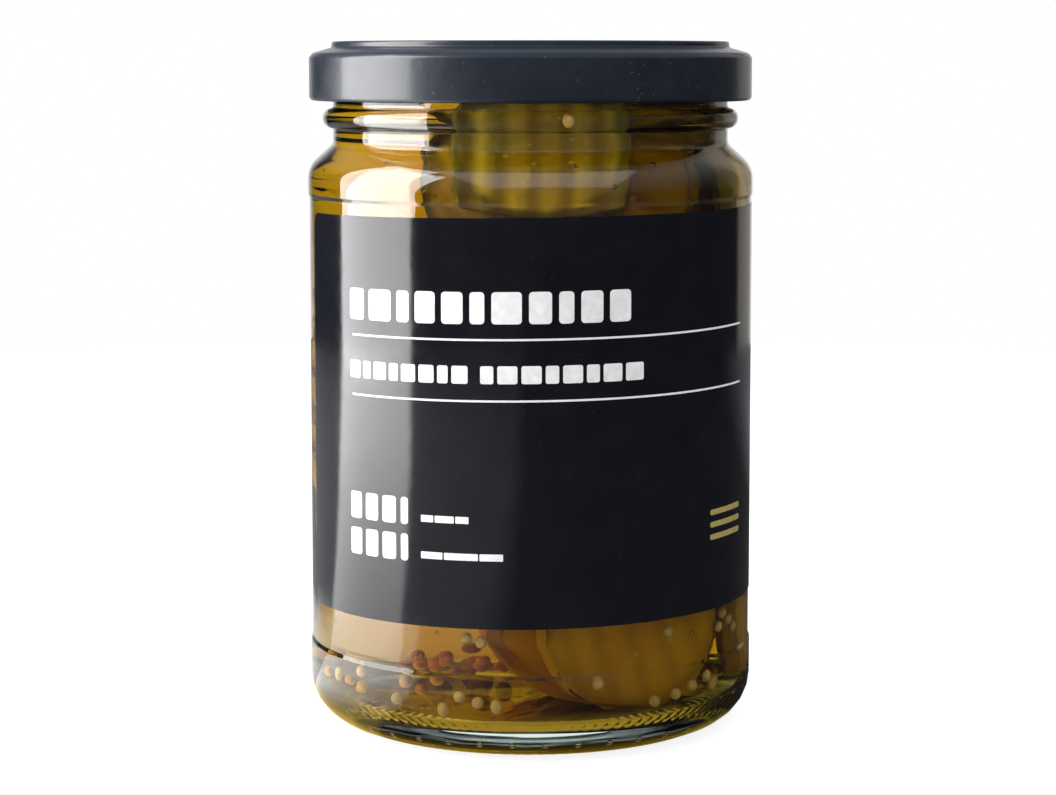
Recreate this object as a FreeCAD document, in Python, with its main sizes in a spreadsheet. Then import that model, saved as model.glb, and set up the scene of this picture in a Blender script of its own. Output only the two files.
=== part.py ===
"""A glass twist-off jar of pickles: jar, lid, brine and wrap label.

Millimetres, +Z up. The origin is at the centre of the ring that the jar stands on, and the
front of the label faces -Y. Every sub-part is a PartDesign body turned about the Z axis.
"""
import FreeCAD, Part
import math
import os

import Sketcher

DRIVING_SIZES = [
    # The glass, from the rim down to the ring that it stands on.
    ("glass_height", 113.15),      # bearing ring to rim
    ("body_radius", 37.0),         # bumper bands above and below the label panel
    ("neck_inset", 4.2),           # neck in from the body's radius
    ("neck_wall", 2.4),
    ("rim_round", 0.95),
    ("bead_play", 1.2),            # lid's skirt to the transfer bead
    ("bead_height", 3.4),
    ("bead_reach", 1.7),           # bead beyond the neck
    ("bead_round", 1.6),
    ("neck_length", 2.5),          # bead to the foot of the neck
    ("shoulder_rise", 3.8),        # height of the sloping shoulder
    ("shoulder_round", 4.5),
    ("neck_fillet", 1.5),
    ("shoulder_depth", 1.2),       # inner shoulder below the outer one
    ("wall", 2.3),
    ("upper_band", 4.4),
    ("lower_band", 13.8),
    ("panel_recess", 0.25),
    ("panel_step", 0.6),           # height over which the glass steps into the panel
    ("heel_round", 8.0),
    ("inner_heel_round", 6.0),
    ("ring_width", 2.5),           # flat bearing ring
    ("punt_rise", 2.0),            # push-up of the base
    ("punt_run", 4.0),
    ("punt_round", 3.0),
    ("base_thickness", 3.2),
    # Four thread ridges on the neck, and what takes them in the lid.
    ("ridge_count", 4),
    ("ridge_sweep", 58.0),         # degrees
    ("ridge_reach", 1.7),
    ("ridge_height", 1.7),
    ("ridge_root", 0.4),           # how far a ridge's section starts inside the glass
    # The lid, pressed from thin sheet.
    ("sheet", 0.25),
    ("lid_height", 9.7),
    ("skirt_play", 1.95),          # thread ridge to the inside of the skirt
    ("crown_inset", 0.3),          # outer edge of the crown, in from the neck's radius
    ("crown_run", 1.5),
    ("crown_round", 0.8),
    ("ledge_drop", 1.9),           # crown to the ledge round it
    ("ledge_fillet", 0.6),
    ("lid_round", 1.25),
    ("panel_play", 1.2),           # inside of the neck to the sunk centre panel
    ("panel_run", 0.8),
    ("panel_sink", 0.9),
    ("button_radius", 11.0),
    ("button_run", 2.0),
    ("button_sink", 0.3),
    ("curl_radius", 0.7),
    ("lug_sweep", 17.0),           # degrees
    ("lug_height", 1.0),
    ("lug_grip", 1.1),             # how far a lug reaches under its ridge
    ("lug_clearance", 0.1),
    # The brine.
    ("headspace", 6.0),            # rim to the top of the brine
    ("fill_clearance", 0.02),
    # The wrap label.
    ("label_thickness", 0.12),
    ("label_clearance", 0.02),
    ("label_foot_gap", 7.5),       # bare panel under the label
    ("label_head_gap", 1.6),       # bare panel over the label
    ("label_start", 73.0),         # degrees from the front to the label's left end
    ("label_opening", 100.0),      # degrees of bare glass between the label's ends
    ("label_corner", 2.2),
    ("label_skew", 0.7),           # degrees
    ("label_trim", 2.0),           # stock that is cut off above and below the label
    ("trim_reach", 60.0),          # half width of the trimming outline
]

doc = FreeCAD.newDocument("pickle_jar")
sheet = doc.addObject("Spreadsheet::Sheet", "Sizes")
for row, (alias, number) in enumerate(DRIVING_SIZES, start=1):
    sheet.set(f"A{row}", alias.replace("_", " "))
    sheet.set(f"B{row}", str(number))
    sheet.setAlias(f"B{row}", alias)
doc.recompute()
ALIASES = {alias for alias, _ in DRIVING_SIZES}


def bound(formula):
    """Write a formula in size names, set apart by spaces, as an expression on the sheet."""
    return " ".join(f"Sizes.{word}" if word in ALIASES else word for word in formula.split())


def size(formula):
    """The present value of a formula in size names."""
    return float(sheet.evalExpression(bound(formula)))


# Radii and heights that more than one sub-part is built to.
NECK = "body_radius - neck_inset"
INSIDE_NECK = NECK + " - neck_wall"
INSIDE_BODY = "body_radius - wall"
LID_RADIUS = NECK + " + ridge_reach + skirt_play + sheet"
PANEL_RADIUS = "body_radius - panel_recess"
LID_TOP = "glass_height + sheet"
SKIRT_END = LID_TOP + " - lid_height"
BEAD_TOP = SKIRT_END + " - bead_play"
BEAD_FOOT = BEAD_TOP + " - bead_height"
NECK_FOOT = BEAD_FOOT + " - neck_length"
SHOULDER_FOOT = NECK_FOOT + " - shoulder_rise"
UPPER_LEDGE = SHOULDER_FOOT + " - upper_band"
PANEL_TOP = UPPER_LEDGE + " - panel_step"
PANEL_BOTTOM = "lower_band + panel_step"
FLOOR = "punt_rise + base_thickness"
LUG_FOOT = SKIRT_END + " + curl_radius - lug_height / 2"
LUG_TOP = SKIRT_END + " + curl_radius + lug_height / 2"
RIDGE_FOOT = LUG_TOP + " + lug_clearance"
LABEL_TURN = "( 360 - label_opening ) / 2 - label_start - 90"


def new_body(label):
    body = doc.addObject("PartDesign::Body", label)
    body.Label = label
    return body


def new_sketch(body, name):
    """A sketch on the body's own XZ plane: across is the radius, up is the height."""
    sketch = body.newObject("Sketcher::SketchObject", name)
    plane = next(part for part in body.Origin.OriginFeatures if part.Role == "XZ_Plane")
    sketch.AttachmentSupport = [(plane, "")]
    sketch.MapMode = "FlatFace"
    return sketch


def fix_point(sketch, element, end, across, up):
    """Tie one point of the sketch to a radius and a height."""
    for kind, formula in (("DistanceX", across), ("DistanceY", up)):
        rule = Sketcher.Constraint(kind, -1, 1, element, end, size(formula))
        index = sketch.addConstraint(rule)
        sketch.setExpression(f"Constraints[{index}]", bound(formula))


def draw_outline(sketch, corners):
    """Close an outline through corners of (across, up, round), rounded by tangent arcs."""
    first = sketch.GeometryCount
    points = [FreeCAD.Vector(size(across), size(up), 0) for across, up, _ in corners]
    count = len(points)
    leave, reach, centres = [], [], []
    for index, point in enumerate(points):
        back = (points[index - 1] - point).normalize()
        ahead = (points[(index + 1) % count] - point).normalize()
        rounding = size(corners[index][2])
        half_angle = back.getAngle(ahead) / 2
        reach.append(point + back * (rounding / math.tan(half_angle)))
        leave.append(point + ahead * (rounding / math.tan(half_angle)))
        centres.append(point + (back + ahead).normalize() * (rounding / math.sin(half_angle)))

    for index in range(count):
        run = Part.LineSegment(leave[index], reach[(index + 1) % count])
        sketch.addGeometry(run, False)

    for index, (across, up, rounding) in enumerate(corners):
        line_in = first + (index - 1) % count
        line_out = first + index
        if size(rounding) == 0:
            sketch.addConstraint(Sketcher.Constraint("Coincident", line_in, 2, line_out, 1))
            fix_point(sketch, line_out, 1, across, up)
            continue
        corner = sketch.addGeometry(Part.Point(points[index]), True)
        fix_point(sketch, corner, 1, across, up)
        for line in (line_in, line_out):
            sketch.addConstraint(Sketcher.Constraint("PointOnObject", corner, 1, line))
        circle = Part.Circle(centres[index], FreeCAD.Vector(0, 0, 1), size(rounding))
        angles = [circle.parameter(place) for place in (reach[index], leave[index])]
        ends = [1, 2]
        turn = (points[index] - points[index - 1]).cross(points[(index + 1) % count] - points[index])
        if turn.z < 0:
            angles.reverse()
            ends.reverse()
        arc = sketch.addGeometry(Part.ArcOfCircle(circle, angles[0], angles[1]), False)
        sketch.addConstraint(Sketcher.Constraint("Tangent", line_in, 2, arc, ends[0]))
        sketch.addConstraint(Sketcher.Constraint("Tangent", line_out, 1, arc, ends[1]))
        rule = sketch.addConstraint(Sketcher.Constraint("Radius", arc, size(rounding)))
        sketch.setExpression(f"Constraints[{rule}]", bound(rounding))
    doc.recompute()


def revolve(body, sketch, name, sweep=None):
    """Turn a sketch about its own upright axis, all round or by a sweep centred on it."""
    turned = body.newObject("PartDesign::Revolution", name)
    turned.Profile = sketch
    turned.ReferenceAxis = (sketch, ["V_Axis"])
    turned.Angle = 360
    if sweep:
        turned.Midplane = True
        turned.setExpression("Angle", bound(sweep))
    body.Tip = turned
    doc.recompute()
    return turned


def repeat_round(body, feature, name):
    """Copy a feature round the Z axis, one for each thread ridge."""
    pattern = body.newObject("PartDesign::PolarPattern", name)
    pattern.Originals = [feature]
    pattern.Axis = (feature.Profile[0], ["V_Axis"])
    pattern.Angle = 360
    pattern.setExpression("Occurrences", bound("ridge_count"))
    body.Tip = pattern
    doc.recompute()
    return pattern


def inside_corners(gap):
    """The corners of the jar's hollow, from its floor up to the neck, shrunk by a gap."""
    return [
        ("0", f"{FLOOR} + {gap}", "0"),
        (f"{INSIDE_BODY} - {gap}", f"{FLOOR} + {gap}", "inner_heel_round"),
        (f"{INSIDE_BODY} - {gap}", f"{SHOULDER_FOOT} - shoulder_depth", "shoulder_round"),
        (f"{INSIDE_NECK} - {gap}", f"{NECK_FOOT} - shoulder_depth", "neck_fillet"),
    ]


def make_jar():
    """The glass, with a rounded rim, a transfer bead, a sunk label panel and a push-up."""
    body = new_body("jar")
    ring_outside = "body_radius - heel_round"
    ring_inside = ring_outside + " - ring_width"
    outside = [
        ("0", "punt_rise", "0"),
        (f"{ring_inside} - punt_run", "punt_rise", "punt_round"),
        (ring_inside, "0", "0"),
        ("body_radius", "0", "heel_round"),
        ("body_radius", "lower_band", "0"),
        (PANEL_RADIUS, PANEL_BOTTOM, "0"),
        (PANEL_RADIUS, PANEL_TOP, "0"),
        ("body_radius", UPPER_LEDGE, "0"),
        ("body_radius", SHOULDER_FOOT, "shoulder_round"),
        (NECK, NECK_FOOT, "neck_fillet"),
        (NECK, BEAD_FOOT, "0"),
        (f"{NECK} + bead_reach", BEAD_FOOT, "bead_round"),
        (f"{NECK} + bead_reach", BEAD_TOP, "bead_round"),
        (NECK, BEAD_TOP, "0"),
        (NECK, "glass_height", "rim_round"),
        (INSIDE_NECK, "glass_height", "rim_round"),
    ]
    wall = new_sketch(body, "glass_wall")
    draw_outline(wall, outside + inside_corners("0")[::-1])
    revolve(body, wall, "glass")

    ridge = new_sketch(body, "ridge_section")
    root = NECK + " - ridge_root"
    crest = NECK + " + ridge_reach"
    draw_outline(ridge, [
        (root, RIDGE_FOOT, "0"),
        (crest, RIDGE_FOOT, "0"),
        (crest, f"{RIDGE_FOOT} + ridge_height / 3", "0"),
        (root, f"{RIDGE_FOOT} + ridge_height", "0"),
    ])
    first_ridge = revolve(body, ridge, "thread_ridge", sweep="ridge_sweep")
    repeat_round(body, first_ridge, "thread_ridges")
    return body


def make_lid():
    """The lid: a crown over the rim, a sunk panel with its button, a skirt, a curl and lugs."""
    body = new_body("lid")
    panel_edge = f"{INSIDE_NECK} - panel_play"
    crown_edge = NECK + " - crown_inset"
    panel_top = f"{LID_TOP} - panel_sink"
    form = new_sketch(body, "lid_outside")
    draw_outline(form, [
        ("0", SKIRT_END + " + curl_radius", "0"),
        (LID_RADIUS, SKIRT_END + " + curl_radius", "0"),
        (LID_RADIUS, f"{LID_TOP} - ledge_drop", "lid_round"),
        (f"{crown_edge} + crown_run", f"{LID_TOP} - ledge_drop", "ledge_fillet"),
        (crown_edge, LID_TOP, "crown_round"),
        (panel_edge, LID_TOP, "crown_round"),
        (f"{panel_edge} - panel_run", panel_top, "ledge_fillet"),
        ("button_radius + button_run", panel_top, "0"),
        ("button_radius", f"{panel_top} - button_sink", "0"),
        ("0", f"{panel_top} - button_sink", "0"),
    ])
    block = revolve(body, form, "lid_form")

    shell = body.newObject("PartDesign::Thickness", "lid_sheet")
    heights = [face.CenterOfMass.z for face in block.Shape.Faces]
    shell.Base = (block, [f"Face{heights.index(min(heights)) + 1}"])
    shell.Reversed = True
    shell.setExpression("Value", bound("sheet"))
    body.Tip = shell
    doc.recompute()

    curl = new_sketch(body, "curl_section")
    ring = curl.addGeometry(Part.Circle(
        FreeCAD.Vector(size(f"{LID_RADIUS} - curl_radius"), size(SKIRT_END + " + curl_radius"), 0),
        FreeCAD.Vector(0, 0, 1), size("curl_radius")), False)
    fix_point(curl, ring, 3, f"{LID_RADIUS} - curl_radius", SKIRT_END + " + curl_radius")
    rule = curl.addConstraint(Sketcher.Constraint("Radius", ring, size("curl_radius")))
    curl.setExpression(f"Constraints[{rule}]", bound("curl_radius"))
    revolve(body, curl, "curl")

    lug = new_sketch(body, "lug_section")
    lug_tip = NECK + " + ridge_reach - lug_grip"
    draw_outline(lug, [
        (lug_tip, LUG_FOOT, "0"),
        (f"{LID_RADIUS} - curl_radius", LUG_FOOT, "0"),
        (f"{LID_RADIUS} - curl_radius", LUG_TOP, "0"),
        (lug_tip, LUG_TOP, "0"),
    ])
    first_lug = revolve(body, lug, "lug", sweep="lug_sweep")
    repeat_round(body, first_lug, "lugs")
    return body


def make_brine():
    """The brine, level a little under the rim, with a hair's clearance to the glass."""
    body = new_body("brine")
    fill = new_sketch(body, "fill_section")
    level = "glass_height - headspace"
    corners = inside_corners("fill_clearance")
    top = [
        (f"{INSIDE_NECK} - fill_clearance", level, "0"),
        ("0", level, "0"),
    ]
    draw_outline(fill, corners + top)
    revolve(body, fill, "fill")
    return body


def make_label():
    """The wrap label: a thin skin on the panel, open at the back left, trimmed a little askew."""
    body = new_body("label")
    upright = FreeCAD.Vector(0, 0, 1)
    body.Placement.Rotation = FreeCAD.Rotation(upright, size(LABEL_TURN))
    body.setExpression("Placement.Rotation.Angle", bound(LABEL_TURN))
    inner = f"{PANEL_RADIUS} + label_clearance"
    outer = inner + " + label_thickness"
    bottom = PANEL_BOTTOM + " + label_foot_gap"
    top = PANEL_TOP + " - label_head_gap"
    stock = new_sketch(body, "label_section")
    draw_outline(stock, [
        (inner, f"{bottom} - label_trim", "0"),
        (outer, f"{bottom} - label_trim", "0"),
        (outer, f"{top} + label_trim", "0"),
        (inner, f"{top} + label_trim", "0"),
    ])
    revolve(body, stock, "label_stock", sweep="360 - label_opening")

    trim = new_sketch(body, "label_trim_outline")
    rise = "trim_reach * tan( label_skew * 1 deg )"
    for edge, side in ((bottom, "-"), (top, "+")):
        beyond = f"{edge} {side} 2 * label_trim"
        draw_outline(trim, [
            ("0 - trim_reach", f"{edge} - {rise}", "0"),
            ("trim_reach", f"{edge} + {rise}", "0"),
            ("trim_reach", beyond, "0"),
            ("0 - trim_reach", beyond, "0"),
        ])
    cut = body.newObject("PartDesign::Pocket", "trimmed_edges")
    cut.Profile = trim
    cut.Type = "ThroughAll"
    cut.Midplane = True
    body.Tip = cut
    doc.recompute()

    corners = body.newObject("PartDesign::Fillet", "label_corners")
    longest = 2 * size("label_thickness")
    short_edges = [f"Edge{index + 1}" for index, edge in enumerate(cut.Shape.Edges)
                   if edge.Length < longest]
    corners.Base = (cut, short_edges)
    corners.setExpression("Radius", bound("label_corner"))
    body.Tip = corners
    doc.recompute()
    return body


def check(bodies):
    """Stop if any object failed, or if a sub-part isn't one sound solid, and print its size."""
    for item in doc.Objects:
        if "Invalid" in item.State or "Error" in item.State:
            raise RuntimeError(f"{item.Label} failed: {item.State}")
    for body in bodies:
        shape = body.Shape
        if shape.isNull() or not shape.isValid() or len(shape.Solids) != 1:
            raise RuntimeError(f"{body.Label} isn't one sound solid")
        print(f"{body.Label}: {shape.Volume / 1000:.1f} ml, z {shape.BoundBox.ZMin:.2f} "
              f"to {shape.BoundBox.ZMax:.2f}, across {shape.BoundBox.XLength:.2f}")


bodies = [make_jar(), make_lid(), make_brine(), make_label()]
doc.recompute()
check(bodies)
os.makedirs("parts", exist_ok=True)
for body in bodies:
    body.Shape.exportStep(f"parts/{body.Label}.step")
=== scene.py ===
"""A closed glass jar of sliced pickled gherkins, with a dark twist-off lid and a wrap label.

Metres, +Z up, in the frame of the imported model. The origin is at the centre of the ring that the
jar stands on, and the front of the label faces -Y. Every new piece is made around the CAD boxes.
"""
import math
import random

import bpy
from mathutils import Matrix, Vector


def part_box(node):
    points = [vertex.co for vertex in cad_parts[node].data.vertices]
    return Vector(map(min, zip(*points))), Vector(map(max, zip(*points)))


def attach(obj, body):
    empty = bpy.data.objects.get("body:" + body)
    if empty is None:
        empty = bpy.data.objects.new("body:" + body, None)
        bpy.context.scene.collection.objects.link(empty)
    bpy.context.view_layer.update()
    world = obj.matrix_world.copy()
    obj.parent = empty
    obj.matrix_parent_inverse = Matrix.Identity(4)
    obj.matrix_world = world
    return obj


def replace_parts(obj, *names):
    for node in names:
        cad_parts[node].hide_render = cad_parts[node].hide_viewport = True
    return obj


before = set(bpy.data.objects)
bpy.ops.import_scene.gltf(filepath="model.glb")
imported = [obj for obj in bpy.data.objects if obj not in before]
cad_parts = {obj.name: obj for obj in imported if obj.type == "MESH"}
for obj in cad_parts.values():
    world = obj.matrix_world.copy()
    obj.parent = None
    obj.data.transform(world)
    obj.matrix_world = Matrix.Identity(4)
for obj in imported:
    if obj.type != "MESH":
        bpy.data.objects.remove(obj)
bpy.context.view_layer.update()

MM = 0.001
jar_low, jar_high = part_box("jar")
lid_low, lid_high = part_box("lid")
brine_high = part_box("brine")[1]

# The glass.
BODY_RADIUS = min(jar_high.x, jar_high.y)
GLASS_TOP = jar_high.z
BODY_WALL = 2.3 * MM
NECK_WALL = 2.4 * MM
NECK_RADIUS = BODY_RADIUS - 4.2 * MM
INSIDE_NECK = NECK_RADIUS - NECK_WALL
INSIDE_BODY = BODY_RADIUS - BODY_WALL
PANEL_RADIUS = BODY_RADIUS - 0.25 * MM      # the sunk panel under the label
SKIRT_END = lid_low.z
BEAD_TOP = SKIRT_END - 1.2 * MM
BEAD_FOOT = BEAD_TOP - 3.4 * MM
NECK_FOOT = BEAD_FOOT - 2.5 * MM
SHOULDER_FOOT = NECK_FOOT - 3.8 * MM
UPPER_LEDGE = SHOULDER_FOOT - 4.4 * MM
LOWER_LEDGE = 13.8 * MM
LEDGE_STEP = 0.6 * MM
RIDGE_FOOT = SKIRT_END + 1.3 * MM
RIDGE_SWELL = 1.5 * MM
FLOOR_TOP = 5.2 * MM                        # top of the glass under the brine
HOLLOW_HEEL = 6.0 * MM                      # rounding between the floor and the wall inside
RING_RADIUS = BODY_RADIUS - 9.2 * MM        # middle of the bearing ring
RING_LIFT = 0.3 * MM                        # glass between the knurls stands this high
HEEL_DOTS = 16
DOT_RADIUS = 0.55 * MM
TURN_STEPS = 288
KNURL_STEPS = 3                             # turn steps from one knurl to the next
ARC_STEP = math.radians(15)
MERGE_REACH = 1e-6                          # vertices nearer than this become one

# The lid.
LID_RADIUS = (lid_high.x - lid_low.x) / 2
LID_TOP = lid_high.z
SHEET = 0.25 * MM
CURL_RADIUS = 0.7 * MM
LUGS = 4

# The label, its print, and the stretch of bare glass between its ends.
LABEL_RADIUS = PANEL_RADIUS + 0.02 * MM
LABEL_OPENING = math.radians(100)
LABEL_START = math.radians(73)              # from the front to the label's left end
LABEL_MIDDLE = math.pi - LABEL_OPENING / 2 - LABEL_START
LABEL_THICKNESS = 0.12 * MM
LABEL_SKEW = math.radians(0.7)
LABEL_FOOT = 21.9 * MM
LABEL_HEAD = 86.2 * MM
FRONT = -LABEL_RADIUS * LABEL_MIDDLE        # the front's place along the flat label
PRINT_LIFT = 0.03 * MM
PRINT_RIGHT = FRONT + 43.2 * MM             # right end of the rules and of the mark
STRIP = 1.2 * MM                            # the label bends in strips this wide
PRINT_STRIP = 0.8 * MM

# The brine, whose piece reaches a little into the glass.
INTO_WALL = 0.15 * MM
BRINE_TOP = brine_high.z


# ---------------------------------------------------------------- making shapes

def rounded(corners):
    """Round each (radius, height, rounding) corner of a closed outline by an arc of points."""
    points = []
    for index, (radius, height, rounding) in enumerate(corners):
        here = Vector((radius, height))
        if rounding == 0:
            points.append(here)
            continue
        back = (Vector(corners[index - 1][:2]) - here).normalized()
        ahead = (Vector(corners[(index + 1) % len(corners)][:2]) - here).normalized()
        half = back.angle(ahead) / 2
        centre = here + (back + ahead).normalized() * (rounding / math.sin(half))
        spoke = here + back * (rounding / math.tan(half)) - centre
        last = here + ahead * (rounding / math.tan(half)) - centre
        turn = math.atan2(spoke.x * last.y - spoke.y * last.x, spoke.dot(last))
        steps = max(2, math.ceil(abs(turn) / ARC_STEP))
        for step in range(steps + 1):
            points.append(centre + Matrix.Rotation(turn * step / steps, 2) @ spoke)
    return points


def start_piece(add_primitive, name, **settings):
    """Add a primitive with nothing else selected, and go into edit mode on it."""
    bpy.ops.object.select_all(action="DESELECT")
    add_primitive(**settings)
    piece = bpy.context.object
    piece.name = name
    bpy.ops.object.mode_set(mode="EDIT")
    return piece


def end_piece(piece, smooth_under=40):
    """Merge what coincides, point the faces outwards and shade the piece."""
    bpy.ops.object.mode_set(mode="EDIT")
    bpy.ops.mesh.select_all(action="SELECT")
    bpy.ops.mesh.remove_doubles(threshold=MERGE_REACH)
    bpy.ops.mesh.normals_make_consistent(inside=False)
    bpy.ops.object.mode_set(mode="OBJECT")
    bpy.ops.object.shade_smooth_by_angle(angle=math.radians(smooth_under))
    return piece


def turned(name, outline, closed):
    """Turn an outline of (radius, height) points round the Z axis."""
    piece = start_piece(bpy.ops.mesh.primitive_plane_add, name, size=MM)
    bpy.ops.mesh.select_all(action="SELECT")
    bpy.ops.mesh.merge(type="CENTER")
    bpy.ops.transform.translate(value=(outline[0].x, 0, outline[0].y))
    ahead = outline[1:] + outline[:1] if closed else outline[1:]
    for here, there in zip(outline, ahead):
        run = there - here
        bpy.ops.mesh.extrude_vertices_move(TRANSFORM_OT_translate={"value": (run.x, 0, run.y)})
    bpy.ops.mesh.select_all(action="SELECT")
    bpy.ops.mesh.remove_doubles(threshold=MERGE_REACH)
    bpy.ops.mesh.spin(steps=TURN_STEPS, angle=2 * math.pi, center=(0, 0, 0), axis=(0, 0, 1))
    return end_piece(piece)


def pick(piece, wanted):
    """Select in edit mode the vertices whose place passes a test."""
    bpy.ops.object.mode_set(mode="EDIT")
    bpy.ops.mesh.select_mode(type="VERT")
    bpy.ops.mesh.select_all(action="DESELECT")
    bpy.ops.object.mode_set(mode="OBJECT")
    for vertex in piece.data.vertices:
        vertex.select = wanted(vertex.co)
    bpy.ops.object.mode_set(mode="EDIT")


def modify(piece, kind, **settings):
    """Add a modifier with its settings and apply it."""
    modifier = piece.modifiers.new(kind.title(), kind)
    for name, value in settings.items():
        setattr(modifier, name, value)
    bpy.context.view_layer.objects.active = piece
    bpy.ops.object.modifier_apply(modifier=modifier.name)


def thicken(piece, thickness, offset):
    """Give a shell its wall, with its new edges sharp."""
    modify(piece, "SOLIDIFY", thickness=thickness, offset=offset)
    bpy.ops.object.shade_smooth_by_angle(angle=math.radians(40))


def settle(piece, place):
    """Put a piece's place into its mesh, so that its object stays at the origin."""
    piece.data.transform(place)
    piece.data.update()


def join(pieces, name):
    """Join pieces into one, under one name."""
    bpy.ops.object.select_all(action="DESELECT")
    for piece in pieces:
        piece.select_set(True)
    bpy.context.view_layer.objects.active = pieces[0]
    bpy.ops.object.join()
    whole = bpy.context.object
    whole.name = name
    return whole


def dress(piece, material):
    """Give a piece its material and its body."""
    piece.data.materials.clear()
    piece.data.materials.append(material)
    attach(piece, "root")
    return piece


# ---------------------------------------------------------------- the glass, the brine, the lid

def hollow_corners(reach):
    """The hollow's corners from the axis up to the neck, grown into the wall by a reach."""
    inside = INSIDE_BODY + reach
    return [
        (0, FLOOR_TOP - reach, 0),
        (inside, FLOOR_TOP - reach, HOLLOW_HEEL + reach),
        (inside, SHOULDER_FOOT - 1.2 * MM, 4.5 * MM),
        (INSIDE_NECK + reach, NECK_FOOT - 1.2 * MM, 1.5 * MM),
    ]


def glass_outline():
    """Outside of the glass from the push-up to the rim, then its inside back to the axis."""
    ring_out = BODY_RADIUS - 8.0 * MM
    ring_in = ring_out - 2.5 * MM
    push_up = 2.0 * MM
    bead_radius = NECK_RADIUS + 1.7 * MM
    outside = [
        (0, push_up, 0),
        (ring_in - 4.0 * MM, push_up, 3.0 * MM),
        (ring_in, RING_LIFT, 0.8 * MM),
        (RING_RADIUS, RING_LIFT, 0),
        (BODY_RADIUS, RING_LIFT, 7.8 * MM),
        (BODY_RADIUS, LOWER_LEDGE, 0.5 * MM),
        (PANEL_RADIUS, LOWER_LEDGE + LEDGE_STEP, 0.5 * MM),
        (PANEL_RADIUS, UPPER_LEDGE - LEDGE_STEP, 0.5 * MM),
        (BODY_RADIUS, UPPER_LEDGE, 0.5 * MM),
        (BODY_RADIUS, SHOULDER_FOOT, 4.5 * MM),
        (NECK_RADIUS, NECK_FOOT, 1.5 * MM),
        (NECK_RADIUS, BEAD_FOOT, 0.3 * MM),
        (bead_radius, BEAD_FOOT, 1.6 * MM),
        (bead_radius, BEAD_TOP, 1.6 * MM),
        (NECK_RADIUS, BEAD_TOP, 0.3 * MM),
    ]
    ridge = [(NECK_RADIUS, RIDGE_FOOT + rise * MM, 0) for rise in (0, 0.3, 0.9, 1.7)]
    rim = [
        (NECK_RADIUS, GLASS_TOP, 0.95 * MM),
        (INSIDE_NECK, GLASS_TOP, 0.95 * MM),
    ]
    return rounded(outside + ridge + rim + hollow_corners(0)[::-1])


def raise_thread_ridges(glass):
    """Swell four stretches of the neck into the ridges that the lid's lugs run under."""
    sweep = math.radians(58)

    def on_ridge(place):
        if abs(place.xy.length - NECK_RADIUS) > 0.05 * MM:
            return False
        if not RIDGE_FOOT + 0.1 * MM < place.z < RIDGE_FOOT + 1.2 * MM:
            return False
        from_ridge = math.atan2(place.y, place.x) % (2 * math.pi / LUGS)
        return from_ridge < sweep

    pick(glass, on_ridge)
    swell = (NECK_RADIUS + RIDGE_SWELL) / NECK_RADIUS
    bpy.ops.transform.resize(value=(swell, swell, 1), center_override=(0, 0, 0))


def raise_knurls(glass):
    """Bring every third step of the bearing ring down to the ground, as a row of small knurls."""
    def on_knurl(place):
        step = round(math.atan2(place.y, place.x) / (2 * math.pi / TURN_STEPS))
        if step % KNURL_STEPS or place.z > RING_LIFT + 0.12 * MM:
            return False
        return abs(place.xy.length - RING_RADIUS) < 2.0 * MM

    pick(glass, on_knurl)
    bpy.ops.transform.translate(value=(0, 0, -RING_LIFT))


def make_glass():
    glass = turned("glass_jar", glass_outline(), closed=True)
    raise_thread_ridges(glass)
    raise_knurls(glass)
    bpy.ops.object.mode_set(mode="OBJECT")
    return glass


def make_heel_dots():
    """Small raised glass dots in a row round the front of the heel, sunk halfway into it."""
    out = BODY_RADIUS - 4.3 * MM
    height = 3.25 * MM
    dots = []
    for step in range(HEEL_DOTS):
        angle = math.radians(-140 + 9 * step)
        dot = start_piece(bpy.ops.mesh.primitive_uv_sphere_add, "heel_dot",
                          segments=16, ring_count=10, radius=DOT_RADIUS)
        end_piece(dot)
        settle(dot, Matrix.Translation((out * math.cos(angle), out * math.sin(angle), height)))
        dots.append(dot)
    return join(dots, "heel_dots")


def make_brine():
    """The brine, level under the rim, with a small meniscus."""
    top = [
        (INSIDE_NECK + INTO_WALL, BRINE_TOP, 0),
        (INSIDE_NECK - 0.2 * MM, BRINE_TOP - 0.15 * MM, 0.3 * MM),
        (INSIDE_NECK - 2.0 * MM, BRINE_TOP - 0.5 * MM, 1.0 * MM),
        (0, BRINE_TOP - 0.5 * MM, 0),
    ]
    return turned("brine_fill", rounded(hollow_corners(INTO_WALL) + top), closed=True)


def lid_outline():
    """Outside of the lid's sheet, from the middle of the button to the end of the skirt."""
    panel_edge = INSIDE_NECK - 1.2 * MM
    crown_edge = NECK_RADIUS + 0.1 * MM
    panel_top = LID_TOP - 0.9 * MM
    button_top = panel_top - 0.3 * MM
    corners = [
        (0, button_top, 0),
        (11.0 * MM, button_top, 1.5 * MM),
        (13.0 * MM, panel_top, 1.5 * MM),
        (panel_edge - 0.8 * MM, panel_top, 0.6 * MM),
        (panel_edge, LID_TOP, 0.7 * MM),
        (crown_edge, LID_TOP, 0.4 * MM),
        (crown_edge + 0.1 * MM, LID_TOP - 1.0 * MM, 0.4 * MM),
        (LID_RADIUS - 0.6 * MM, LID_TOP - 1.9 * MM, 0.8 * MM),
        (LID_RADIUS, LID_TOP - 2.6 * MM, 0.7 * MM),
        (LID_RADIUS, SKIRT_END + CURL_RADIUS, 0),
    ]
    return rounded(corners)


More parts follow.
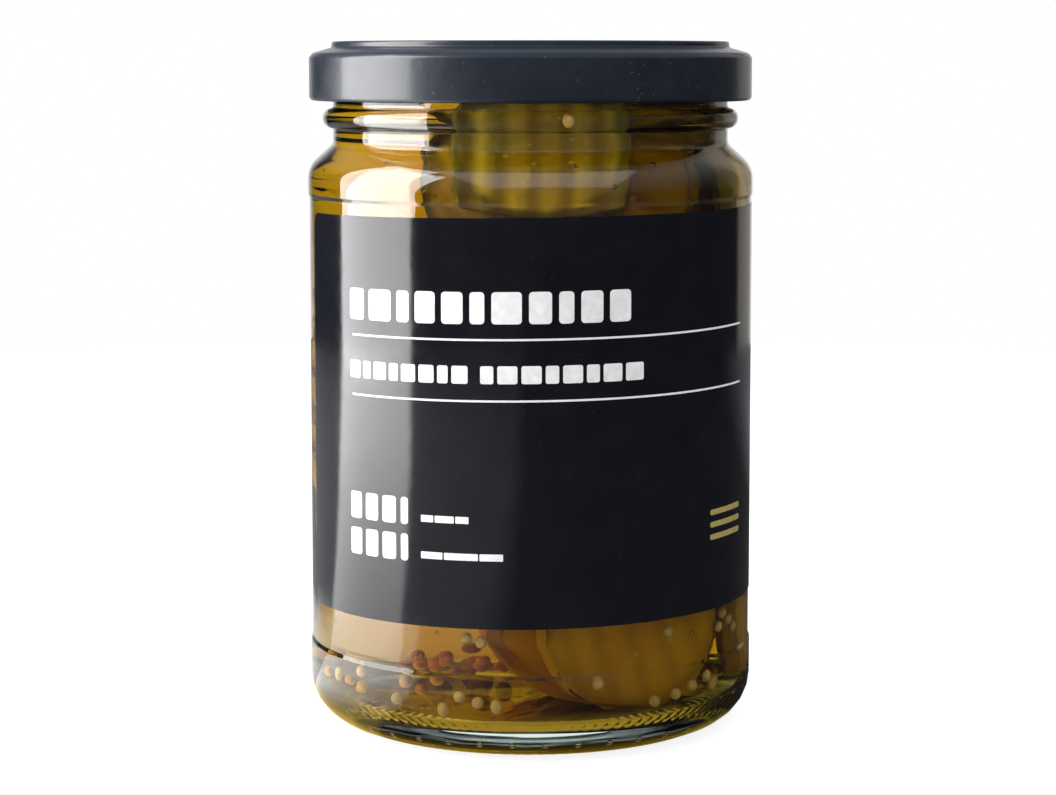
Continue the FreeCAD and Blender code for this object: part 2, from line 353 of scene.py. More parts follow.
def make_lid_lug(index):
    """One lug: a short stretch of the curl, pressed in under its thread ridge."""
    lug = start_piece(bpy.ops.mesh.primitive_cube_add, "lid_lug", size=1)
    bpy.ops.mesh.select_all(action="SELECT")
    bpy.ops.transform.resize(value=(2.6 * MM, 9.0 * MM, 1.0 * MM))
    bpy.ops.mesh.bevel(offset=0.3 * MM, segments=3)
    end_piece(lug)
    place = Matrix.Rotation(index * 2 * math.pi / LUGS, 4, "Z")
    settle(lug, place @ Matrix.Translation((LID_RADIUS - 2.0 * MM, 0, SKIRT_END + CURL_RADIUS)))
    return lug


def make_lid():
    """The pressed sheet, its curl and its lugs, as one piece."""
    shell = turned("lid_shell", lid_outline(), closed=False)
    thicken(shell, SHEET, -1)
    curl = start_piece(bpy.ops.mesh.primitive_torus_add, "lid_curl",
                       major_radius=LID_RADIUS - CURL_RADIUS, minor_radius=CURL_RADIUS,
                       location=(0, 0, SKIRT_END + CURL_RADIUS),
                       major_segments=TURN_STEPS, minor_segments=16)
    bpy.ops.object.mode_set(mode="OBJECT")
    bpy.ops.object.transform_apply(location=True)
    end_piece(curl)
    lugs = [make_lid_lug(index) for index in range(LUGS)]
    return join([shell, curl] + lugs, "lid_cap")


# ---------------------------------------------------------------- the label and its print

def wrap(piece, radius):
    """Bend a flat sheet round the jar, so that the place FRONT comes to the front."""
    places = [vertex.co.x for vertex in piece.data.vertices]
    extent = max(places) - min(places)
    modify(piece, "SIMPLE_DEFORM", deform_method="BEND", deform_axis="Z", angle=extent / radius)
    settle(piece, Matrix.Rotation(LABEL_MIDDLE, 4, "Z") @ Matrix.Translation((0, -radius, 0)))


def flat_block(left, right, foot, head, corner=0, name="block"):
    """A flat block standing in the plane of the label, with rounded corners."""
    block = start_piece(bpy.ops.mesh.primitive_plane_add, name, size=1)
    bpy.ops.mesh.select_all(action="SELECT")
    bpy.ops.transform.resize(value=(right - left, head - foot, 1))
    if corner:
        bpy.ops.mesh.bevel(offset=corner, segments=6, affect="VERTICES")
    bpy.ops.object.mode_set(mode="OBJECT")
    turn = Matrix.Rotation(math.pi / 2, 4, "X")
    settle(block, Matrix.Translation(((left + right) / 2, 0, (foot + head) / 2)) @ turn)
    return block


def cut_strips(piece, pitch):
    """Cut a flat sheet into upright strips, so that it bends smoothly."""
    places = [vertex.co.x for vertex in piece.data.vertices]
    left, right = min(places), max(places)
    count = max(1, round((right - left) / pitch))
    bpy.context.view_layer.objects.active = piece
    bpy.ops.object.mode_set(mode="EDIT")
    for index in range(1, count):
        bpy.ops.mesh.select_all(action="SELECT")
        across = left + (right - left) * index / count
        bpy.ops.mesh.bisect(plane_co=(across, 0, 0), plane_no=(1, 0, 0))
    bpy.ops.object.mode_set(mode="OBJECT")


def skew(piece):
    """Slope a flat sheet, as the label was put on a little askew."""
    slope = Matrix.Identity(4)
    slope[2][0] = math.tan(LABEL_SKEW)
    lean = Matrix.Translation((0, 0, -FRONT * math.tan(LABEL_SKEW)))
    settle(piece, lean @ slope)


def store_flat(piece):
    """Keep the flat places as the piece's own UV map, in tenths of a metre."""
    layer = piece.data.uv_layers.new(name="flat")
    for loop in piece.data.loops:
        place = piece.data.vertices[loop.vertex_index].co
        layer.data[loop.index].uv = (place.x * 10, place.z * 10)


def make_label():
    half = LABEL_RADIUS * (math.pi - LABEL_OPENING / 2)
    label = flat_block(-half, half, LABEL_FOOT, LABEL_HEAD, corner=2.2 * MM, name="label_wrap")
    cut_strips(label, STRIP)
    store_flat(label)
    skew(label)
    wrap(label, LABEL_RADIUS)
    end_piece(label, smooth_under=60)
    thicken(label, LABEL_THICKNESS, 1)
    return label


def print_words(left, right, foot, head, widths):
    """A row of plain rounded blocks in the place of a line of words."""
    gap = 0.22 * (head - foot)
    room = right - left - gap * (len(widths) - 1)
    blocks = []
    at = left
    for width in widths:
        along = room * width / sum(widths)
        blocks.append(flat_block(at, at + along, foot, head, corner=0.12 * (head - foot)))
        at += along + gap
    return blocks


def white_print():
    """Two thin rules, two rows of blocks for words, and two amounts with a small bar each."""
    left = FRONT - 33.0 * MM
    rules = [
        flat_block(left + 0.6 * MM, PRINT_RIGHT, height, height + 0.32 * MM)
        for height in (67.2 * MM, 57.65 * MM)
    ]
    title = print_words(left, FRONT + 16.0 * MM, 69.8 * MM, 74.8 * MM,
                        [3, 4, 2, 3, 3, 2, 4, 3, 2, 3, 3])
    subtitle = print_words(left, FRONT - 10.0 * MM, 60.5 * MM, 63.3 * MM, [3, 2, 3, 2, 3, 3, 2, 3])
    subtitle += print_words(left + 25.0 * MM, FRONT + 18.3 * MM, 60.5 * MM, 63.3 * MM,
                            [2, 3, 3, 2, 3, 2, 3, 3])
    amounts = []
    for foot, bar_end in ((37.9 * MM, -9.9 * MM), (32.1 * MM, -4.4 * MM)):
        amounts += print_words(left, left + 12.6 * MM, foot, foot + 4.3 * MM, [2, 2, 2, 1])
        amounts += print_words(left + 15 * MM, FRONT + bar_end, foot + 0.6 * MM, foot + 1.7 * MM,
                               [2, 3, 2])
    return rules + title + subtitle + amounts


def mark_print():
    """Three short bars in the place of the maker's mark."""
    return [
        flat_block(FRONT + 33.0 * MM, PRINT_RIGHT, foot, foot + 0.9 * MM, corner=0.4 * MM)
        for foot in (33.2 * MM, 35.2 * MM, 37.2 * MM)
    ]


def print_on_label(blocks, name):
    """Join flat blocks and lay them on the label as a thin layer of ink."""
    ink = join(blocks, name)
    cut_strips(ink, PRINT_STRIP)
    skew(ink)
    wrap(ink, LABEL_RADIUS + LABEL_THICKNESS)
    end_piece(ink, smooth_under=60)
    thicken(ink, PRINT_LIFT, 1)
    return ink


# ---------------------------------------------------------------- what is sunk in the brine

SLICE_RADIUS = 15.0 * MM
SLICE_THICKNESS = 5.2 * MM
RIDGE_PERIOD = 5.3 * MM
RIDGE_DEPTH = 1.6 * MM
LUMP_DEPTH = 1.6 * MM
WOOD_BANDS = 10 / (2 * math.pi)             # a band texture has this many bands in a unit
SEED_RADIUS = 0.95 * MM
SEED_REACH = 1.15 * MM                      # from a seed's middle to the glass
SCATTERED_SEEDS = 54
BUBBLES = 26


def crinkle_texture():
    bands = bpy.data.textures.new("crinkle_bands", "WOOD")
    bands.wood_type = "BANDS"
    bands.noise_basis_2 = "SIN"
    return bands


def lump_texture():
    lumps = bpy.data.textures.new("skin_lumps", "CLOUDS")
    lumps.noise_scale = 1.0
    lumps.noise_depth = 2
    return lumps


def pattern_frame(name, along, rest):
    """An empty whose scale sets the size of a displacing pattern."""
    bpy.ops.object.select_all(action="DESELECT")
    bpy.ops.object.empty_add()
    empty = bpy.context.object
    empty.name = name
    empty.scale = (along, rest, rest)
    bpy.context.view_layer.update()
    return empty


def store_slice_place(piece):
    """Keep each vertex's place in the slice, for the flesh, the seeds and the skin."""
    place = piece.data.attributes.new("slice_place", "FLOAT_VECTOR", "POINT")
    for vertex, entry in zip(piece.data.vertices, place.data):
        entry.vector = vertex.co / SLICE_RADIUS


def make_slice(squareness, lump_size, bands, lumps):
    """One crinkle-cut slice: ridged faces, a lumpy skin round the edge and a soft rim."""
    piece = start_piece(bpy.ops.mesh.primitive_cube_add, "gherkin_slice", size=2)
    bpy.ops.mesh.select_all(action="SELECT")
    bpy.ops.mesh.subdivide(number_cuts=23)
    bpy.ops.transform.resize(value=(SLICE_RADIUS, SLICE_RADIUS, SLICE_THICKNESS / 2))
    bpy.ops.object.mode_set(mode="OBJECT")
    modify(piece, "CAST", cast_type="CYLINDER", factor=1 - squareness, use_z=False,
           size=SLICE_RADIUS)
    end_piece(piece, smooth_under=180)
    store_slice_place(piece)
    thin_rim(piece)
    ridge_frame = pattern_frame("ridge_frame", RIDGE_PERIOD * WOOD_BANDS, 1000)
    modify(piece, "DISPLACE", texture=bands, texture_coords="OBJECT",
           texture_coords_object=ridge_frame, direction="Z", strength=RIDGE_DEPTH)
    lump_frame = pattern_frame("lump_frame", lump_size, lump_size)
    modify(piece, "DISPLACE", texture=lumps, texture_coords="OBJECT",
           texture_coords_object=lump_frame, direction="NORMAL", strength=LUMP_DEPTH)
    bpy.data.objects.remove(ridge_frame)
    bpy.data.objects.remove(lump_frame)
    return piece


def thin_rim(piece):
    """Round the slice's edge by drawing its outermost vertices towards the middle plane."""
    for share, keep in ((0.90, 0.93), (0.96, 0.85)):
        pick(piece, lambda place: place.xy.length > share * SLICE_RADIUS)
        bpy.ops.transform.resize(value=(1, 1, keep), center_override=(0, 0, 0))
    bpy.ops.object.mode_set(mode="OBJECT")


def place_slice(master, name, across, back, height, facing, lean, roll, width, length):
    """Copy a slice to a place in mm. It faces a bearing in degrees from the front, leaning up."""
    copy = bpy.data.objects.new(name, master.data.copy())
    bpy.context.scene.collection.objects.link(copy)
    bearing = math.radians(facing)
    tilt = math.radians(90 - lean)
    settle(copy, Matrix.Translation((across * MM, back * MM, height * MM))
           @ Matrix.Rotation(bearing, 4, "Z") @ Matrix.Rotation(tilt, 4, "X")
           @ Matrix.Rotation(math.radians(roll), 4, "Z")
           @ Matrix.Diagonal((width, length, 1, 1)))
    return copy


# Slices by the shoulder and the base: master, across, back, height, facing, lean, roll, width, length.
TOP_SLICES = [
    (1, 1.6, -24.4, 96.0, 2, 0, 0, 0.90, 0.66),
    (0, -1.0, -17.2, 91.4, -3, 0, 30, 0.93, 0.93),
    (2, 9.0, -10.4, 91.4, 6, 2, 70, 0.93, 0.93),
    (0, 12.0, -3.6, 91.4, 9, 2, 20, 0.93, 0.93),
    (2, 11.5, 3.2, 91.4, 6, 3, 100, 0.93, 0.93),
    (0, 12.0, 10.0, 91.4, 4, 2, 60, 0.93, 0.93),
    (2, 10.0, 16.8, 91.2, 0, 2, 10, 0.90, 0.93),
    (0, 6.5, 22.9, 90.0, -3, 0, 45, 0.80, 0.86),
    (1, 28.2, 0.0, 87.5, 90, 8, 15, 0.66, 0.66),
]
BASE_SLICES = [
    (0, 14.5, -21.0, 20.9, 25, 0, 15, 0.95, 0.95),
    (2, 8.0, -13.4, 20.9, 12, 0, 60, 0.93, 0.95),
    (0, 8.0, -6.0, 20.9, 6, 0, 90, 0.95, 0.95),
    (2, 8.5, 0.8, 20.9, 3, 0, 30, 0.95, 0.95),
    (0, 9.0, 7.6, 20.9, -1, 0, 70, 0.95, 0.95),
    (2, 9.0, 14.4, 20.9, -4, 0, 0, 0.93, 0.95),
    (0, 7.5, 21.2, 21.0, -7, 0, 45, 0.90, 0.93),
    (1, 29.4, 0.0, 20.0, 90, 0, 20, 0.72, 0.72),
]
STACK_HEIGHTS = (41.5, 48.5, 55.5, 62.5, 69.5)
STACK_BEARINGS = (-90, 30, 150)
STACK_OUT = 17.5


def stacked_slices():
    """Three stacks of slices that lie nearly flat, behind the label."""
    dice = random.Random(3)
    layout = []
    for bearing in STACK_BEARINGS:
        for height in STACK_HEIGHTS:
            out = STACK_OUT + dice.uniform(-0.5, 0.5)
            across = out * math.sin(math.radians(bearing))
            back = -out * math.cos(math.radians(bearing))
            layout.append((dice.choice((0, 2)), across, back, height, dice.uniform(0, 360),
                           dice.uniform(87.5, 90), dice.uniform(0, 180), 0.93, 0.93))
    return layout


def make_slices():
    bands = crinkle_texture()
    lumps = lump_texture()
    masters = [make_slice(0.0, 9 * MM, bands, lumps), make_slice(0.55, 11 * MM, bands, lumps),
               make_slice(0.15, 7 * MM, bands, lumps)]
    groups = []
    for name, layout in (("gherkins_top", TOP_SLICES), ("gherkins_middle", stacked_slices()),
                         ("gherkins_base", BASE_SLICES)):
        copies = [place_slice(masters[kind], name, *place) for kind, *place in layout]
        group = join(copies, name)
        bpy.ops.object.shade_smooth()
        groups.append(group)
    for master in masters:
        bpy.data.objects.remove(master)
    return groups


# Seeds near the front glass: bearing from the front in degrees, height in mm.
SHOWN_SEEDS = [
    (-17, 19.7), (-13, 19.2), (-51, 12.0), (-19, 10.3), (-14, 9.5), (-9, 9.0), (-38, 8.8),
    (-24, 8.0), (18, 12.4), (39, 19.5), (62, 20.5), (66, 19.0), (60, 18.4), (69, 17.4),
    (48, 10.0), (54, 11.0), (42, 9.2), (35, 8.6), (57, 9.4), (-62, 10.4), (10, 101.0),
]


def make_seeds():
    """Mustard seeds: some seen at the front glass, the rest scattered over the base."""
    master = start_piece(bpy.ops.mesh.primitive_ico_sphere_add, "mustard_seed",
                         subdivisions=3, radius=SEED_RADIUS)
    end_piece(master, smooth_under=180)
    dice = random.Random(11)
    places = [(math.radians(bearing), INSIDE_BODY - SEED_REACH, height * MM)
              for bearing, height in SHOWN_SEEDS]
    for _ in range(SCATTERED_SEEDS):
        places.append((dice.uniform(math.radians(60), math.radians(300)),
                       dice.uniform(8, 28) * MM, dice.uniform(6.4, 8.5) * MM))
    seeds = []
    for bearing, out, height in places:
        out = min(out, rim_at(height) - SEED_REACH)
        seed = bpy.data.objects.new("seed", master.data.copy())
        bpy.context.scene.collection.objects.link(seed)
        stretch = dice.uniform(0.95, 1.25)
        settle(seed, Matrix.Translation((out * math.sin(bearing), -out * math.cos(bearing), height))
               @ Matrix.Rotation(dice.uniform(0, math.pi), 4, dice.choice("XYZ"))
               @ Matrix.Diagonal((1, stretch, 0.95, 1)))
        seeds.append(seed)
    bpy.data.objects.remove(master)
    group = join(seeds, "mustard_seeds")
    bpy.ops.object.shade_smooth()
    return group


def rim_at(height):
    """How far the hollow reaches from the axis at a height, over its rounded heel."""
    over = height - FLOOR_TOP
    if over >= HOLLOW_HEEL:
        return INSIDE_BODY
    drop = HOLLOW_HEEL - over
    return INSIDE_BODY - HOLLOW_HEEL + math.sqrt(max(0, HOLLOW_HEEL ** 2 - drop ** 2))


def make_bubbles():
    """A few air bubbles that cling to the glass."""
    dice = random.Random(5)
    bubbles = []
    for _ in range(BUBBLES):
        top = dice.random() < 0.45
        height = (dice.uniform(89, 94) if top else dice.uniform(12, 21)) * MM
        bearing = math.radians(dice.uniform(-70, 80) if top else dice.uniform(-80, 80))
        size = dice.uniform(0.18, 0.42) * MM
        bubble = start_piece(bpy.ops.mesh.primitive_ico_sphere_add, "bubble",
                             subdivisions=3, radius=size)
        end_piece(bubble, smooth_under=180)
        out = rim_at(height) - size - 0.1 * MM
        settle(bubble, Matrix.Translation((out * math.sin(bearing), -out * math.cos(bearing), height)))
        bubbles.append(bubble)
    return join(bubbles, "brine_bubbles")


# ---------------------------------------------------------------- materials

def feed(tree, socket, value):
    if isinstance(value, bpy.types.NodeSocket):
        tree.links.new(value, socket)
    else:
        socket.default_value = value


def add(tree, kind, sockets=None, **settings):
    """Add a node. A socket takes a number, a colour or the output of another node."""
    node = tree.nodes.new("ShaderNode" + kind)
    for name, value in settings.items():
        setattr(node, name, value)
    for name, value in (sockets or {}).items():
        feed(tree, node.inputs[name], value)
    return node


def ramp(tree, value, stops):
    """Map a value through (place, colour) stops."""
    node = add(tree, "ValToRGB", {"Fac": value})
    elements = node.color_ramp.elements
    while len(elements) < len(stops):
        elements.new(0.5)
    for element, (place, colour) in zip(elements, stops):
        element.position = place
        element.color = (*colour, 1)
    return node.outputs["Color"]


def spread(tree, value, low, high, to_low=0.0, to_high=1.0):
    """Stretch a value from one range to another, and hold it there."""
    node = add(tree, "MapRange", {"Value": value, "From Min": low, "From Max": high,
                                  "To Min": to_low, "To Max": to_high})
    return node.outputs["Result"]


def blend(tree, share, first, second):
    node = add(tree, "Mix", data_type="RGBA")
    feed(tree, node.inputs[0], share)
    feed(tree, node.inputs[6], first)
    feed(tree, node.inputs[7], second)
    return node.outputs[2]


def calculate(tree, operation, first, second=0.0):
    """The result of a maths node."""
    return add(tree, "Math", {0: first, 1: second}, operation=operation).outputs[0]


def object_place(tree):
    return add(tree, "TexCoord").outputs["Object"]


def sides_of(tree, vector):
    """The X, Y and Z of a vector."""
    return add(tree, "SeparateXYZ", {0: vector}).outputs


def length_of(tree, vector):
    return add(tree, "VectorMath", {0: vector}, operation="LENGTH").outputs["Value"]


def new_group(name, inputs, outputs):
    """A shader node group with named inputs and outputs."""
    group = bpy.data.node_groups.new(name, "ShaderNodeTree")
    for label, kind, value in inputs:
        socket = group.interface.new_socket(label, in_out="INPUT", socket_type=kind)
        socket.default_value = value
    for label, kind in outputs:
        group.interface.new_socket(label, in_out="OUTPUT", socket_type=kind)
    entry = group.nodes.new("NodeGroupInput")
    end = group.nodes.new("NodeGroupOutput")
    return group, entry.outputs, end.inputs


def ripple_group():
    """A gentle uneven surface at one scale, as a normal."""
    group, given, out = new_group(
        "surface_ripple",
        [("Scale", "NodeSocketFloat", 60.0), ("Depth", "NodeSocketFloat", 0.0001)],
        [("Normal", "NodeSocketVector")])
    noise = add(group, "TexNoise", {"Vector": object_place(group), "Scale": given["Scale"],
                                    "Detail": 2.0})
    bump = add(group, "Bump", {"Strength": 1.0, "Distance": given["Depth"],
                               "Height": noise.outputs["Fac"]})
    group.links.new(bump.outputs["Normal"], out["Normal"])
    return group


def mottle_group():
    """Soft blotches, as a mask from 0 to 1."""
    group, given, out = new_group(
        "mottle", [("Vector", "NodeSocketVector", (0, 0, 0)), ("Scale", "NodeSocketFloat", 100.0)],
        [("Mask", "NodeSocketFloat")])
    broad = add(group, "TexNoise", {"Vector": given["Vector"], "Scale": given["Scale"],
                                    "Detail": 4.0, "Roughness": 0.6})
    mask = spread(group, broad.outputs["Fac"], 0.3, 0.7)
    group.links.new(mask, out["Mask"])
    return group


def fleck_group():
    """Sparse specks of dust or pits, as a mask from 0 to 1."""
    group, given, out = new_group(
        "flecks", [("Scale", "NodeSocketFloat", 900.0), ("Size", "NodeSocketFloat", 0.08)],
        [("Mask", "NodeSocketFloat")])
    cells = add(group, "TexVoronoi", {"Vector": object_place(group), "Scale": given["Scale"]})
    mask = calculate(group, "LESS_THAN", cells.outputs["Distance"], given["Size"])
    group.links.new(mask, out["Mask"])
    return group


RIPPLE = ripple_group()
MOTTLE = mottle_group()
FLECKS = fleck_group()


def ripple(tree, scale, depth):
    node = add(tree, "Group", node_tree=RIPPLE)
    node.inputs["Scale"].default_value = scale
    node.inputs["Depth"].default_value = depth
    return node.outputs["Normal"]


def mottle(tree, scale, vector=None):
    node = add(tree, "Group", node_tree=MOTTLE)
    node.inputs["Scale"].default_value = scale
    feed(tree, node.inputs["Vector"], vector or object_place(tree))
    return node.outputs["Mask"]


def flecks(tree, scale, size):
    node = add(tree, "Group", node_tree=FLECKS)
    node.inputs["Scale"].default_value = scale
    node.inputs["Size"].default_value = size
    return node.outputs["Mask"]


def new_material(name, **sockets):
    """A material with its shader's own sockets set; Base_Color stands for Base Color."""
    material = bpy.data.materials.new(name)
    material.use_nodes = True
    tree = material.node_tree
    shader = tree.nodes["Principled BSDF"]
    for socket, value in sockets.items():
        feed(tree, shader.inputs[socket.replace("_", " ")], value)
    return material, tree, shader.inputs


def add_absorption(tree, colour, density):
    """Tint a clear body by how far light goes through it."""
    absorb = add(tree, "VolumeAbsorption", {"Color": (*colour, 1), "Density": density})
    tree.links.new(absorb.outputs["Volume"], tree.nodes["Material Output"].inputs["Volume"])


def glass_material():
    """Flint glass, faintly green in its thickness, gently wavy from the mould."""
    material, tree, shader = new_material("flint_glass", Base_Color=(1, 1, 1, 1), IOR=1.5,
                                          Transmission_Weight=1.0)
    feed(tree, shader["Roughness"], spread(tree, flecks(tree, 420, 0.06), 0, 1, 0.0, 0.25))
    feed(tree, shader["Normal"], ripple(tree, 55, 0.00018))
    add_absorption(tree, (0.62, 0.93, 0.80), 9.0)
    return material


def brine_material():
    """Golden vinegar brine."""
    material, tree, shader = new_material("brine", Base_Color=(1, 1, 1, 1), IOR=1.34,
                                          Roughness=0.0, Transmission_Weight=1.0)
    feed(tree, shader["Normal"], ripple(tree, 30, 0.00003))
    add_absorption(tree, (0.918, 0.834, 0.087), 150.0)
    return material


def bubble_material():
    """Air inside brine."""
    material, tree, shader = new_material("bubble_air", Base_Color=(1, 1, 1, 1), IOR=0.746,
                                          Transmission_Weight=1.0)
    feed(tree, shader["Roughness"], spread(tree, mottle(tree, 900), 0, 1, 0.0, 0.04))
    return material


def lid_material():
    """Dark blue-black enamel on tinplate, with a fine orange peel and a little dust."""
    material, tree, shader = new_material("lid_enamel", IOR=1.5, Coat_Weight=0.35,
                                          Coat_Roughness=0.12)
    enamel = blend(tree, mottle(tree, 260), (0.008, 0.011, 0.018, 1), (0.012, 0.016, 0.025, 1))
    feed(tree, shader["Base Color"], blend(tree, flecks(tree, 700, 0.05), enamel, (0.2, 0.2, 0.2, 1)))
    feed(tree, shader["Roughness"], spread(tree, mottle(tree, 120), 0, 1, 0.28, 0.40))
    feed(tree, shader["Normal"], ripple(tree, 1100, 0.00002))
    return material


def label_material():
    """Black satin film, a little uneven where it lies on the glass."""
    material, tree, shader = new_material("label_film", IOR=1.5)
    flat = add(tree, "UVMap", uv_map="flat").outputs["UV"]
    film = blend(tree, mottle(tree, 14, flat), (0.0045, 0.0050, 0.0075, 1),
                 (0.0070, 0.0075, 0.0100, 1))
    feed(tree, shader["Base Color"], blend(tree, flecks(tree, 800, 0.04), film, (0.1, 0.1, 0.1, 1)))
    feed(tree, shader["Roughness"], spread(tree, mottle(tree, 40, flat), 0, 1, 0.08, 0.13))
    feed(tree, shader["Normal"], ripple(tree, 120, 0.00004))
    return material


def label_back_material():
    """The pale back of the film, seen through the glass."""
    material, tree, shader = new_material("label_back", IOR=1.45)
    feed(tree, shader["Base Color"], blend(tree, mottle(tree, 90), (0.62, 0.61, 0.57, 1),
                                           (0.72, 0.71, 0.68, 1)))
    feed(tree, shader["Roughness"], spread(tree, mottle(tree, 200), 0, 1, 0.5, 0.7))
    return material


def ink_material(name, colour, worn):
    """Screen ink with slightly uneven cover."""
    material, tree, shader = new_material(name, IOR=1.45)
    feed(tree, shader["Base Color"], blend(tree, mottle(tree, 700), (*colour, 1), (*worn, 1)))
    feed(tree, shader["Roughness"], spread(tree, mottle(tree, 300), 0, 1, 0.35, 0.5))
    feed(tree, shader["Normal"], ripple(tree, 1500, 0.00001))
    return material


FLESH = [                                   # from the middle of a slice out to its skin
    (0.0, (0.80, 0.52, 0.03)),
    (0.42, (0.86, 0.58, 0.04)),
    (0.60, (0.92, 0.68, 0.07)),
    (0.86, (0.82, 0.62, 0.05)),
    (0.96, (0.26, 0.24, 0.02)),
]
STAINED_FLESH = (0.55, 0.31, 0.02, 1)
# painted shade in the furrows of a slice
FURROW_FLESH = (0.36, 0.21, 0.015, 1)
BASE_FLESH = (0.95, 0.46, 0.008, 1)
PIP = (0.78, 0.58, 0.12, 1)


def furrows(tree, place):
    """A mask of painted shade, strongest in the furrows of a crinkle-cut slice."""
    turns = calculate(tree, "MULTIPLY", sides_of(tree, place)["X"],
                      2 * math.pi * SLICE_RADIUS / RIDGE_PERIOD)
    return spread(tree, calculate(tree, "SINE", turns), -1, 0.5, 0.62, 0)


def pips(tree, flat, out):
    """Round pips in the core of a slice, as a mask."""
    cells = add(tree, "TexVoronoi", {"Vector": flat, "Scale": 5.5, "Randomness": 0.9})
    pip = calculate(tree, "LESS_THAN", cells.outputs["Distance"], 0.24)
    return calculate(tree, "MULTIPLY", pip, spread(tree, out, 0.5, 0.62, 1, 0))


def gherkin_material():
    """Pickled flesh with a pipped core, a paler ring, a dark skin and painted shade in its furrows,
    deeper towards the base.
    """
    material, tree, shader = new_material("gherkin", Roughness=0.38, IOR=1.12,
                                          Subsurface_Weight=0.25,
                                          Subsurface_Radius=(1.0, 0.8, 0.25),
                                          Subsurface_Scale=0.003)
    place = add(tree, "Attribute", attribute_name="slice_place").outputs["Vector"]
    flat = add(tree, "VectorMath", {0: place, 1: (1, 1, 0)}, operation="MULTIPLY").outputs["Vector"]
    out = length_of(tree, flat)
    flesh = ramp(tree, out, FLESH)
    flesh = blend(tree, spread(tree, mottle(tree, 2.2, place), 0, 1, 0, 0.5), flesh, STAINED_FLESH)
    # painted shade in the furrows
    flesh = blend(tree, furrows(tree, place), flesh, FURROW_FLESH)
    height = sides_of(tree, object_place(tree))["Z"]
    flesh = blend(tree, spread(tree, height, 0.04, 0.08, 0.55, 0), flesh, BASE_FLESH)
    feed(tree, shader["Base Color"], blend(tree, pips(tree, flat, out), flesh, PIP))
    feed(tree, shader["Normal"], ripple(tree, 700, 0.00012))
    return material


def seed_material():
    """Golden mustard seed."""
    material, tree, shader = new_material("mustard_seed", Roughness=0.35, IOR=1.15)
    feed(tree, shader["Base Color"], blend(tree, mottle(tree, 500), (0.82, 0.50, 0.13, 1),
                                           (0.90, 0.64, 0.22, 1)))
    feed(tree, shader["Normal"], ripple(tree, 2500, 0.00002))
    return material


# ---------------------------------------------------------------- the studio

WHITE = (1, 1, 1, 1)
ROOM_DARK = (0.02, 0.02, 0.025, 1)          # the unlit room, as the jar mirrors it
ROOM_FRONT = (0.13, 0.16, 0.20, 1)
ROOM_ABOVE = (0.24, 0.27, 0.31, 1)
ROOM_RIGHT = (0.50, 0.46, 0.42, 1)
ROOM_BEHIND = (0.9, 0.9, 0.9, 1)
TABLE_RADIUS = 0.62
TABLE_TONE = (0.28, 0.28, 0.28, 1)
# painted shade on the table, seen only where the jar mirrors it
TABLE_DARK = (0.04, 0.04, 0.04, 1)
TABLE_WHITE = 0.85                          # with the light on the table, this is white
# painted glow on the table, brighter than white, which only the jar's reflections see
NEAR_GLOW = (0.7, 1.6)                      # table by the jar, from its back to its front
FAR_GLOW = (2.2, 6.5)                       # table from the jar out to the softbox
# painted amber pool of light on the table under the jar, in place of light through the brine
AMBER_POOL = (0.42, 0.27, 0.02, 1)          # table under the jar, lit through the brine


def within(tree, value, low, high, soft):
    """1 between two values and 0 beyond them, with a soft change of a given width."""
    rise = spread(tree, value, low - soft, low + soft)
    fall = spread(tree, value, high - soft, high + soft, 1, 0)
    return calculate(tree, "MULTIPLY", rise, fall)


def clean_through(tree, path):
    """1 for a ray that has only gone straight through clear bodies, else 0."""
    turns = calculate(tree, "ADD", path["Diffuse Depth"], path["Glossy Depth"])
    direct = calculate(tree, "LESS_THAN", turns, 0.5)
    return calculate(tree, "MULTIPLY", path["Is Transmission Ray"], direct)


def from_jar(tree, path):
    """1 for a ray that the jar passes on or mirrors before any dull surface, else 0."""
    clear = calculate(tree, "MAXIMUM", path["Is Transmission Ray"], path["Is Glossy Ray"])
    first = calculate(tree, "LESS_THAN", path["Diffuse Depth"], 0.5)
    return calculate(tree, "MULTIPLY", clear, first)


def table_glow(tree, place, out):
    """A painted glow on the table beside the softbox, which only mirrored rays see: a near patch and a
    far fan.
    """
    turned_place = add(tree, "VectorMath", {0: place, "Scale": -1.0}, operation="SCALE").outputs[0]
    sides = sides_of(tree, turned_place)
    bearing = calculate(tree, "ARCTAN2", sides["Y"], sides["X"])
    soft = math.radians(1.5)
    near = within(tree, bearing, math.radians(-80), math.radians(41), soft)
    near = calculate(tree, "MULTIPLY", near, spread(tree, out, 0.11, 0.14, 1, 0))
    strength = spread(tree, bearing, math.radians(-50), math.radians(30), *NEAR_GLOW)
    near = calculate(tree, "MULTIPLY", near, strength)
    far = within(tree, bearing, math.radians(-21), math.radians(29), soft)
    far = calculate(tree, "MULTIPLY", far, spread(tree, out, 0.11, 0.40, *FAR_GLOW))
    return calculate(tree, "MAXIMUM", near, far)


def table_tone(tree, path, place):
    """The table's tone, with painted shade at the front and right where the jar mirrors it."""
    sides = sides_of(tree, place)
    near = spread(tree, sides["Y"], 0.22, 0.36, 1, 0)
    # painted shade at the front and right, for mirrored rays only
    dark = calculate(tree, "MULTIPLY", spread(tree, sides["X"], -0.06, -0.02), near)
    mirrored = calculate(tree, "GREATER_THAN", path["Glossy Depth"], 0.5)
    share = calculate(tree, "MULTIPLY", dark, mirrored)
    return blend(tree, share, TABLE_TONE, TABLE_DARK)


def table_white(tree, path, out):
    """White to the camera, with a painted shadow beside the jar where it is seen through the glass."""
    # painted shadow: dimmer near the jar for rays through the glass
    through = calculate(tree, "MULTIPLY", clean_through(tree, path),
                        spread(tree, out, 0.04, 0.16, 0.4, 1))
    seen = calculate(tree, "MAXIMUM", path["Is Camera Ray"], through)
    return calculate(tree, "MULTIPLY", seen, TABLE_WHITE)


